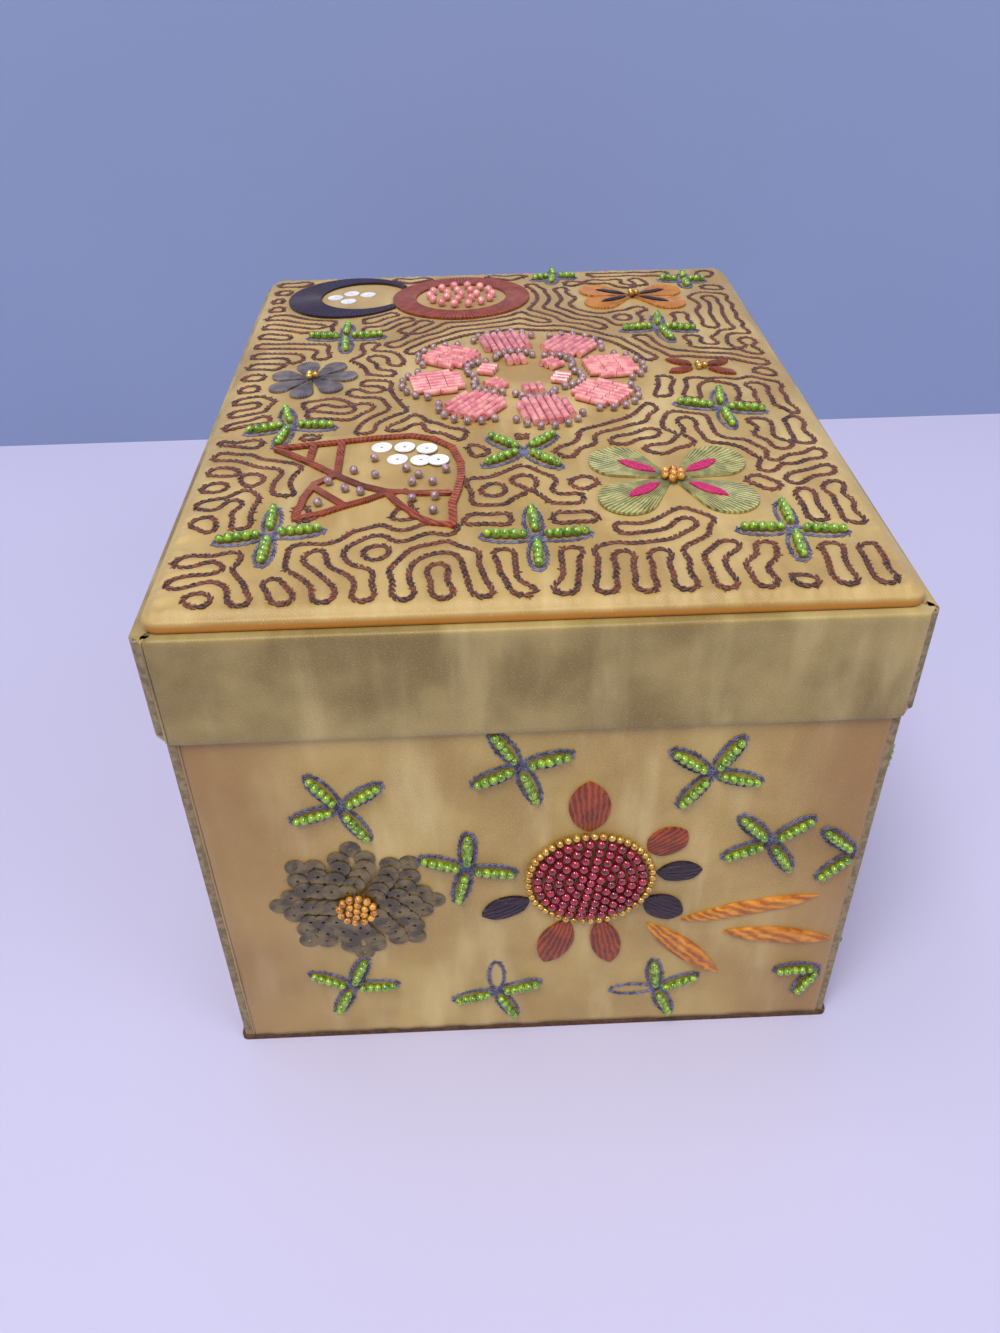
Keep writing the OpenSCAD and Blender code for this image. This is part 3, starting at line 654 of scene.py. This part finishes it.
def panelTop(x, y):
    # the height of the smooth panel, inside its rolled edge
    return panel["cardTop"] + panel["cover"] + panel["roll"] + crownAt(x, y)


def panelUp(points):
    # the way out of the panel, from its slope over 1 mm each way
    x, y = points[:, 0], points[:, 1]
    dx = (panelTop(x + 0.5, y) - panelTop(x - 0.5, y))[..., None]
    dy = (panelTop(x, y + 0.5) - panelTop(x, y - 0.5))[..., None]
    return unit(np.concatenate([-dx, -dy, np.ones_like(dx)], -1))


def onPanel(flat, lift):
    # flat places laid on the panel, raised by lift
    x, y = flat[:, 0], flat[:, 1]
    return np.stack([x, y, panelTop(x, y) + lift], -1)


def lobes(x, y, reach, radius, angles):
    # a capsule from a motif's middle along each of its petals or rows of beads
    ends = [(x + reach * np.cos(a), y + reach * np.sin(a)) for a in np.radians(angles)]
    return [(x, y, *end, radius) for end in ends]


# Sprigs of green beads on the lid: place, the ways their rows point, and how far they reach
sprigList = [
    (18.3, 93.5, (354, 90, 199, 260), 9),
    (61.1, 86.8, (356, 80, 170, 274), 9),
    (-47.7, 39.3, (357, 89, 166, 275), 13),
    (45.6, 40, (351, 83, 193, 282), 13),
    (52.7, -18.3, (354, 82, 167, 274), 13),
    (-56.9, -20.7, (348, 104, 188, 258), 13),
    (0.9, -41.4, (315, 45, 136, 213), 13),
    (-55.6, -73.8, (5, 91, 188, 269), 13),
    (1.4, -79.2, (5, 93, 174, 269), 13),
    (56.1, -78.6, (354, 90, 178, 266), 13),
]
sprigClear = 3.2
# Clear places round the motifs, as capsules: from x, y, to x, y, and the radius
motifs = {
    "pinkFlower": [(3.5, 3.5, 3.5, 3.5, 34.5)],
    "crescent": [(-49, 78, -49, 78, 21)],
    "ringFlower": [(-13, 73, -13, 73, 23)],
    "ochreFlower": lobes(42, 70, 14, 7, (28, 152, 212, 328)),
    "ruffledFlower": [(-54.5, 9, -54.5, 9, 13.5)],
    "smallFlower": [(45, 9, 60, 9, 6)],
    "fruit": [
        (-55, -34.5, -26, -32, 4),
        (-32, -43, -26, -43, 13),
        (-20, -52, -18, -66, 5),
        (-44, -50, -38, -64, 8),
        (-50, -37, -40, -44, 4),
    ],
    "butterfly": lobes(34, -56, 15, 8, (35, 145, 218, 322)),
    "sprigs": [
        lobe
        for x, y, angles, reach in sprigList
        for lobe in lobes(x, y, reach, sprigClear, angles)
    ],
}
meander = {
    "cell": 0.6,
    "spacing": 7.4,
    "steps": 36,
    "seed": 21,
    "roughStart": 0.5,
    "growth": 0.45,
    "heldAt": 0.6,
    "nearMotif": (-0.5, 2.2),
    "nearEdge": (3.0, 6.0),
    "scallop": 0.9,
    "scallopStep": 0.78,
    "fewest": 12,
    "closesWithin": 1.5,
}


def toCapsule(x, y, ax, ay, bx, by, radius):
    # distance from a point to a capsule
    length = (bx - ax) ** 2 + (by - ay) ** 2
    t = np.clip(((x - ax) * (bx - ax) + (y - ay) * (by - ay)) / max(length, tiny), 0, 1)
    return np.hypot(x - ax - t * (bx - ax), y - ay - t * (by - ay)) - radius


gridX = np.arange(-panel["width"] / 2, panel["width"] / 2 + meander["cell"], meander["cell"])
gridY = np.arange(-panel["depth"] / 2, panel["depth"] / 2 + meander["cell"], meander["cell"])
fieldX, fieldY = np.meshgrid(gridX, gridY)
clear = np.full(fieldX.shape, 1e3)
for shapes in motifs.values():
    for capsule in shapes:
        clear = np.minimum(clear, toCapsule(fieldX, fieldY, *capsule))


def meanderField():
    # lobes of even width grown from noise: each step grows waves of one length and damps the
    # others, and the motifs and the panel's scalloped edge are held on one side
    rows, cols = fieldX.shape
    ky = np.fft.fftfreq(rows, meander["cell"])[:, None]
    kx = np.fft.fftfreq(cols, meander["cell"])[None, :]
    wave = (kx**2 + ky**2) * meander["spacing"] ** 2
    damp = 1 + (1 - wave) ** 2
    edge = np.minimum(panel["width"] / 2 - np.abs(fieldX), panel["depth"] / 2 - np.abs(fieldY))
    scallop, step = meander["scallop"], meander["scallopStep"]
    edge = edge - scallop * np.sin(fieldX * step) - scallop * np.sin(fieldY * step)
    free = np.minimum(smooth(clear, *meander["nearMotif"]), smooth(edge, *meander["nearEdge"]))
    held = 1 - free
    u = np.random.default_rng(meander["seed"]).normal(0, meander["roughStart"], fieldX.shape)
    for _ in range(meander["steps"]):
        grown = np.fft.ifft2(np.fft.fft2(u + meander["growth"] * u - u**3) / damp).real
        u = grown * (1 - held) - meander["heldAt"] * held
    return u


def crossedEdges(u):
    # where the field changes sign: one crossing on each grid edge, listed with the cells beside it
    crossings, cells = {}, {}
    for kind, (a, b) in enumerate(((u[:, :-1], u[:, 1:]), (u[:-1], u[1:]))):
        i, j = np.nonzero(a * b < 0)
        t = a[i, j] / (a[i, j] - b[i, j])
        x = gridX[j] + (meander["cell"] * t if kind == 0 else 0)
        y = gridY[i] + (meander["cell"] * t if kind == 1 else 0)
        for row, col, px, py in zip(i.tolist(), j.tolist(), x, y):
            key = (kind, row, col)
            crossings[key] = (px, py)
            for cell in ((row, col), (row - 1, col) if kind == 0 else (row, col - 1)):
                cells.setdefault(cell, []).append(key)
    return crossings, cells


def contourLines(u):
    # crossings of one cell are neighbours, and neighbours are followed into chains; a chain that
    # ends beside its start is closed
    crossings, cells = crossedEdges(u)
    links = {}
    for keys in cells.values():
        keys = sorted(keys, key=lambda k: crossings[k])
        for a, b in zip(keys[0::2], keys[1::2]):
            links.setdefault(a, []).append(b)
            links.setdefault(b, []).append(a)
    lines, left = [], set(links)
    while left:
        here = left.pop()
        chain = [here]
        for direction in (0, 1):
            step = here
            while True:
                onward = [k for k in links[step] if k in left]
                if not onward:
                    break
                step = onward[0]
                left.discard(step)
                chain = chain + [step] if direction == 0 else [step] + chain
        if len(chain) > meander["fewest"]:
            line = np.array([crossings[k] for k in chain])
            if np.hypot(*(line[0] - line[-1])) < meander["closesWithin"]:
                line = np.concatenate([line, line[:1]])
            lines.append(line)
    return lines


field = meanderField()
lines = contourLines(field)
print("meander lines:", len(lines))

cushion = {
    "near": (0, 0.1, 0.3, 0.6, 1.0, 1.5, 2.1),
    "even": 2.7,
    "cell": 0.68,
    "puff": 0.55,
    "puffWidth": 1.5,
    "leastSlope": 0.12,
    "flatNearMotif": (0.2, 2.5),
    "flatNearEdge": (1.0, 3.0),
    "gather": 0.32,
    "gatherStep": 1.05,
    "gatherSeed": 31,
    "gatherSize": 9,
    "gatherFrom": (0.3, 1.2),
    "gatherTo": 5.5,
    "gatherFade": 2.0,
    "endStrip": 6,
}
slopeY, slopeX = np.gradient(field, meander["cell"])
lineGap = np.abs(field) / np.maximum(np.hypot(slopeX, slopeY), cushion["leastSlope"])
puff = 1 - np.exp(-((lineGap / cushion["puffWidth"]) ** 2))
puff = puff * smooth(clear, *cushion["flatNearMotif"])


def sample(values, x, y):
    # the field's value at any place, from the four grid points round it
    c = np.clip((x - gridX[0]) / meander["cell"], 0, len(gridX) - 1.001)
    r = np.clip((y - gridY[0]) / meander["cell"], 0, len(gridY) - 1.001)
    j, i = c.astype(int), r.astype(int)
    s, t = c - j, r - i
    front = values[i, j] * (1 - s) + values[i, j + 1] * s
    back = values[i + 1, j] * (1 - s) + values[i + 1, j + 1] * s
    return front * (1 - t) + back * t


def cushionLine(half):
    # grid places across the panel: close together at both edges and even between them
    near, even = np.array(cushion["near"]), cushion["even"]
    inner = np.linspace(-half + even, half - even, int((2 * half - 2 * even) / cushion["cell"]))
    return np.concatenate([-half + near, inner, (half - near)[::-1]])


def roundedGrid(halfX, halfY, r):
    # a grid whose corner squares are bent into quarter discs, and each point's gap to the edge
    x, y = np.meshgrid(cushionLine(halfX), cushionLine(halfY))
    gap = np.minimum(halfX - np.abs(x), halfY - np.abs(y))
    a = np.clip((np.abs(x) - halfX + r) / r, 0, 1)
    b = np.clip((np.abs(y) - halfY + r) / r, 0, 1)
    inCorner = (a > 0) & (b > 0)
    px = np.where(inCorner, np.sign(x) * (halfX - r + r * a * np.sqrt(1 - b * b / 2)), x)
    py = np.where(inCorner, np.sign(y) * (halfY - r + r * b * np.sqrt(1 - a * a / 2)), y)
    cornerGap = r - np.hypot(np.abs(px) - halfX + r, np.abs(py) - halfY + r)
    return px, py, np.where(inCorner, np.minimum(gap, np.maximum(cornerGap, 0)), gap)


def cushionHeight(x, y, gap, halfY):
    # a quarter-ellipse roll at the edge, the crown, a puff between the lines and small gathers
    into = np.clip(gap / panel["rollIn"], 0, 1)
    z = panel["cardTop"] + panel["cover"] + panel["roll"] * np.sqrt(1 - (1 - into) ** 2)
    z = z + crownAt(x, y) * into
    z = z + cushion["puff"] * sample(puff, x, y) * smooth(gap, *cushion["flatNearEdge"])
    side = np.where(np.abs(y) > halfY - cushion["endStrip"], x, y)
    wander = softNoise(side, side * 0, cushion["gatherSeed"], cushion["gatherSize"])
    gathers = np.abs(np.sin(side * cushion["gatherStep"] + wander))
    strip = smooth(gap, *cushion["gatherFrom"])
    fade = smooth(cushion["gatherTo"] - gap, 0, cushion["gatherFade"])
    return z - cushion["gather"] * gathers * strip * fade


def panelPiece():
    # a closed cushion: the grid over the crown, then a skirt of rings down to a flat foot
    halfX, halfY = panel["width"] / 2, panel["depth"] / 2
    px, py, gap = roundedGrid(halfX, halfY, panel["corner"])
    rows, cols = px.shape
    top = np.stack([px, py, cushionHeight(px, py, gap, halfY)], -1).reshape(-1, 3)
    shape = Shape()
    shape.add(top, gridQuads(rows, cols), uv=top[:, :2])
    index = np.arange(rows * cols).reshape(rows, cols)
    border = np.concatenate([index[0, :-1], index[:-1, -1], index[-1, :0:-1], index[:0:-1, 0]])
    ring = top[border]
    count = len(border)
    heights = [panel["cardTop"] + 0.15, panel["cardTop"] - 0.6, panel["low"] + 0.25, panel["low"]]
    insets = [0.0, 0.02, 0.05, 0.45]
    skirt = []
    for height, inset in zip(heights, insets):
        scale = 1 - inset / np.array([halfX, halfY])
        skirt.append(np.concatenate([ring[:, :2] * scale, np.full((count, 1), height)], -1))
    start = shape.count
    shape.add(np.concatenate(skirt), uv=np.concatenate([ring[:, :2]] * len(heights)))
    shape.add(np.array([[0, 0, panel["low"]]]))
    rings = [border] + [start + k * count + np.arange(count) for k in range(len(heights))]
    for upper, lower in zip(rings, rings[1:]):
        nextUpper, nextLower = np.roll(upper, -1), np.roll(lower, -1)
        shape.quads.append(np.stack([upper, lower, nextLower, nextUpper], -1))
    last = rings[-1]
    shape.tris.append(np.stack([last, np.full(count, shape.count - 1), np.roll(last, -1)], -1))
    return shape


wadPanel = panelPiece().build(
    "wadded_panel", "lid", panelSatin, "embroidered_satin", ["panel_cover", "panel_wadding"]
)
print("panel wadded")


# Stitches

stitchShape = {
    "sides": 6,
    "rings": (0.12, 0.34, 0.66, 0.88),
    "blunt": 0.6,
    "overlap": 1.35,
    "plump": 0.52,
    "aside": 0.24,
    "lean": 0.3,
    "unsteady": 0.08,
    "spurLength": 0.95,
    "spurWidth": 0.24,
    "spurHeight": 0.5,
    "spurOut": 0.62,
    "spurUnsteady": 0.35,
}


def grain(length, width, height):
    # one stitch: a closed six-sided spindle, from four rings and two tips
    sides, s = stitchShape["sides"], np.array(stitchShape["rings"])
    a = np.arange(sides) / sides * 2 * np.pi
    swell = np.sin(np.pi * s) ** stitchShape["blunt"]
    x = np.broadcast_to((s - 0.5)[:, None] * length, (len(s), sides))
    y = swell[:, None] * np.cos(a) * width / 2
    z = swell[:, None] * np.sin(a) * height / 2
    points = np.stack([x, y, z], -1).reshape(-1, 3)
    tip = len(points)
    points = np.concatenate([points, [[-length / 2, 0, 0], [length / 2, 0, 0]]])
    ring = np.arange(sides)
    following = (ring + 1) % sides
    first = np.stack([ring, np.full(sides, tip), following], -1)
    last = np.stack([tip - sides + following, np.full(sides, tip + 1), tip - sides + ring], -1)
    quads = gridQuads(len(s), sides, closeCols=True)[:, ::-1]
    return points, quads, np.concatenate([first, last])[:, ::-1]


def copies(shape, base, origins, along, side, up, tint):
    # one small mesh repeated, each with its own place and axes
    points, quads, tris = base
    axes = np.stack([along, side, up], 1)
    placed = origins[:, None] + np.einsum("pk,nkc->npc", points, axes)
    shift = (np.arange(len(origins)) * len(points))[:, None, None]
    shape.add(
        placed.reshape(-1, 3),
        (quads[None] + shift).reshape(-1, 4),
        (tris[None] + shift).reshape(-1, 3),
        tint=np.repeat(tint, len(points)),
    )


def evenly(line, pitch):
    # points at equal steps along a line, and its direction at each
    run = np.concatenate([[0], np.cumsum(np.linalg.norm(np.diff(line, axis=0), axis=1))])
    count = max(2, int(round(run[-1] / pitch)) + 1)
    at = np.linspace(0, run[-1], count)
    points = np.stack([np.interp(at, run, line[:, k]) for k in range(line.shape[1])], -1)
    return points, unit(np.gradient(points, axis=0))


def chainStitch(shape, line, up, size, draw):
    # chain stitch seen from above: at each step two plump grains side by side, leaning apart,
    # and now and then a short spur of thread to one side
    form, width = stitchShape, size["width"]
    points, along = evenly(line, size["pitch"])
    normal = up(points)
    side = unit(np.cross(normal, along))
    base = grain(size["pitch"] * form["overlap"], width * form["plump"], size["height"])
    tint = draw.uniform(0, 1, len(points))
    for hand in (-1, 1):
        lean = hand * form["lean"] + draw.normal(0, form["unsteady"], (len(points), 1))
        forward = unit(along + side * lean)
        place = points + side * hand * width * form["aside"]
        copies(shape, base, place, forward, np.cross(normal, forward), normal, tint)
    few = draw.uniform(0, 1, len(points)) < size["spurs"]
    hand = np.where(draw.uniform(0, 1, (few.sum(), 1)) < 0.5, -1, 1)
    unsteady = draw.normal(0, form["spurUnsteady"], (few.sum(), 1))
    out = unit(side[few] * hand + along[few] * unsteady)
    spurHeight = size["height"] * form["spurHeight"]
    spur = grain(width * form["spurLength"], width * form["spurWidth"], spurHeight)
    place = points[few] + out * width * form["spurOut"]
    copies(shape, spur, place, out, np.cross(normal[few], out), normal[few], tint[few])


chain = {"pitch": 1.6, "width": 1.35, "height": 0.66, "spurs": 0.4, "seat": 0.3, "seed": 40, "fewest": 4}


def sewMeander(number, across, back):
    # the stretches of the line in one quarter of the lid, laid in chain stitch
    shape = Shape()
    draw = np.random.default_rng(chain["seed"] + number)
    for line in lines:
        inPart = (line[:, 0] * across > 0) & (line[:, 1] * back > 0)
        cuts = np.flatnonzero(np.diff(inPart.astype(int))) + 1
        for run in np.split(np.arange(len(line)), cuts):
            if inPart[run[0]] and len(run) > chain["fewest"]:
                path = onPanel(line[run], chain["height"] * chain["seat"])
                chainStitch(shape, path, panelUp, chain, draw)
    shape.build(f"chain_stitch_{number}", "lid", chainBrown, "embroidered_satin")


for number, (across, back) in enumerate(((-1, -1), (1, -1), (-1, 1), (1, 1)), 1):
    sewMeander(number, across, back)
print("meander sewn")

# Thread loops round the rows of green beads; the front's sprigs have a place, a share of the
# height from the wall's foot to the rim's, and the ways their loops point
loops = {
    "pitch": 1.5,
    "width": 0.85,
    "height": 0.5,
    "spurs": 0.35,
    "seat": 0.3,
    "seed": 77,
    "start": 0.6,
    "wide": 1.95,
    "beyond": 1.0,
    "points": 40,
    "frontReach": 11,
    "lidShorter": 2,
    "offWall": 0.12,
}
frontSprigs = [
    (-43.7, 0.8, (123, 35, 197, 298)),
    (-3.6, 0.9, (121, 15, 206, 289)),
    (38.7, 0.86, (143, 60, 236, 344)),
    (54.6, 0.645, (133, 38, 204, 301)),
    (-16.3, 0.595, (87, 159, 350, 257)),
    (-47.3, 0.19, (150, 68, 0, 246)),
    (-10.1, 0.145, (195, 16, 294, 90)),
    (31.5, 0.13, (96, 25, 292, 180)),
    (75.45, 0.6, (138, 228)),
    (73.95, 0.19, (184, 244)),
]


def loopPath(x, y, angle, reach):
    # a long narrow ellipse from the sprig's middle to just past the last bead
    t = np.linspace(0, 2 * np.pi, loops["points"])
    half = (reach + loops["beyond"] - loops["start"]) / 2
    along = loops["start"] + half - half * np.cos(t)
    aside = loops["wide"] * np.sin(t)
    c, d = np.cos(np.radians(angle)), np.sin(np.radians(angle))
    return np.stack([x + along * c - aside * d, y + along * d + aside * c], -1)


def outOfFront(points):
    # the way out of the front wall, the same at every point
    return np.broadcast_to([0.0, -1.0, 0.0], points.shape)


def threadLoops():
    # the lid's loops first, then the front's
    draw = np.random.default_rng(loops["seed"])
    seat = loops["height"] * loops["seat"]
    onLid = Shape()
    for x, y, angles, reach in sprigList:
        for angle in angles:
            path = onPanel(loopPath(x, y, angle, reach - loops["lidShorter"]), seat)
            chainStitch(onLid, path, panelUp, loops, draw)
    onLid.build("sprig_loops_lid", "lid", indigoThread, "embroidered_satin")
    onFront = Shape()
    face = -wall["depth"] / 2 - seat - loops["offWall"]
    for x, share, angles in frontSprigs:
        z = wall["foot"] + (rim["foot"] - wall["foot"]) * share
        for angle in angles:
            flat = loopPath(x, z, angle, loops["frontReach"])
            path = np.stack([flat[:, 0], np.full(len(flat), face), flat[:, 1]], -1)
            chainStitch(onFront, path, outOfFront, loops, draw)
    onFront.build("sprig_loops_front", "base", indigoThread, "satin")


threadLoops()
print("thread loops laid")


# Floor, light and camera

room = {"half": 3.0, "backdropAt": 0.27, "backdropTall": 2, "noise": 0.004}


def roomPlane(name, corners, finish, roughness, *tones):
    # one flat four-cornered plane of the room, in two close tones
    s = Shader(finish, roughness=roughness)
    s.set(baseColor=s.mix(s.noise(s.place(), room["noise"]), *tones))
    mesh = bpy.data.meshes.new(name)
    mesh.from_pydata(corners, [], [(0, 1, 2, 3)])
    plane = bpy.data.objects.new(name, mesh)
    bpy.context.scene.collection.objects.link(plane)
    plane.data.materials.append(s.material)


def stage():
    # known fault: the backdrop hides the box from a camera that stands behind it
    half, at, tall = room["half"], room["backdropAt"], room["backdropTall"]
    floor = [(-half, -half, 0), (half, -half, 0), (half, half, 0), (-half, half, 0)]
    roomPlane("floor", floor, "floor_pale", 0.75, paint(184, 180, 208), paint(192, 188, 214))
    back = [(-half, at, 0), (half, at, 0), (half, at, tall), (-half, at, tall)]
    roomPlane("backdrop", back, "wall_blue", 0.8, paint(128, 142, 182), paint(138, 152, 190))


def lookAlong(right, up, away, place):
    # a placed frame whose third axis points backwards, as lamps and cameras want it
    turned = np.eye(4)
    turned[:3, :3] = np.stack([right, up, away], 1)
    turned[:3, 3] = place
    return Matrix(turned.tolist())


def lamp(name, place, target, size, power, colour):
    # a square lamp at a place, turned to face a target
    data = bpy.data.lights.new(name, "AREA")
    data.size = size
    data.energy = power
    data.color = colour
    made = bpy.data.objects.new(name, data)
    bpy.context.scene.collection.objects.link(made)
    away = unit(np.array(place, float) - np.array(target, float))
    side = unit(np.cross([0, 0, 1], away))
    made.matrix_world = lookAlong(side, np.cross(away, side), away, place)


stage()
lamp("window", (-0.5, -1.0, 2.1), (0, 0, 0.08), 1.0, 38.0, (1.0, 0.97, 0.93))
lamp("fill", (1.6, -1.2, 1.5), (0, 0, 0.08), 1.5, 14.0, (0.95, 0.96, 1.0))
lamp("above", (-0.2, 0.0, 1.5), (0, 0.05, 0.0), 0.8, 7.0, (0.94, 0.96, 1.0))

airLight = {"colour": (0.82, 0.85, 0.95, 1), "strength": 0.42}
world = bpy.data.worlds.new("soft_room")
world.use_nodes = True
world.node_tree.nodes["Background"].inputs[0].default_value = airLight["colour"]
world.node_tree.nodes["Background"].inputs[1].default_value = airLight["strength"]
bpy.context.scene.world = world

# The camera stands where the photograph was taken from
view = {
    "place": (-11.8, -275.6, 254.3),
    "yaw": 1.436,
    "pitch": 37.382,
    "roll": -1.252,
    "lens": 29.04,
    "sensor": 36,
}


def camera():
    # turned right by yaw, down by pitch, then about its own line of sight by roll
    yaw, pitch, roll = np.radians([view["yaw"], view["pitch"], view["roll"]])
    ahead = np.array([np.sin(yaw) * np.cos(pitch), np.cos(yaw) * np.cos(pitch), -np.sin(pitch)])
    right = np.array([np.cos(yaw), -np.sin(yaw), 0])
    up = np.cross(right, ahead)
    tiltedRight = right * np.cos(roll) + up * np.sin(roll)
    tiltedUp = up * np.cos(roll) - right * np.sin(roll)
    data = bpy.data.cameras.new("camera")
    data.lens = view["lens"]
    data.sensor_width = view["sensor"]
    data.clip_start = 0.01
    made = bpy.data.objects.new("camera", data)
    bpy.context.scene.collection.objects.link(made)
    made.matrix_world = lookAlong(tiltedRight, tiltedUp, -ahead, np.array(view["place"]) / 1000)
    bpy.context.scene.camera = made


camera()
bpy.context.scene.view_settings.view_transform = "Standard"
print("stage set")
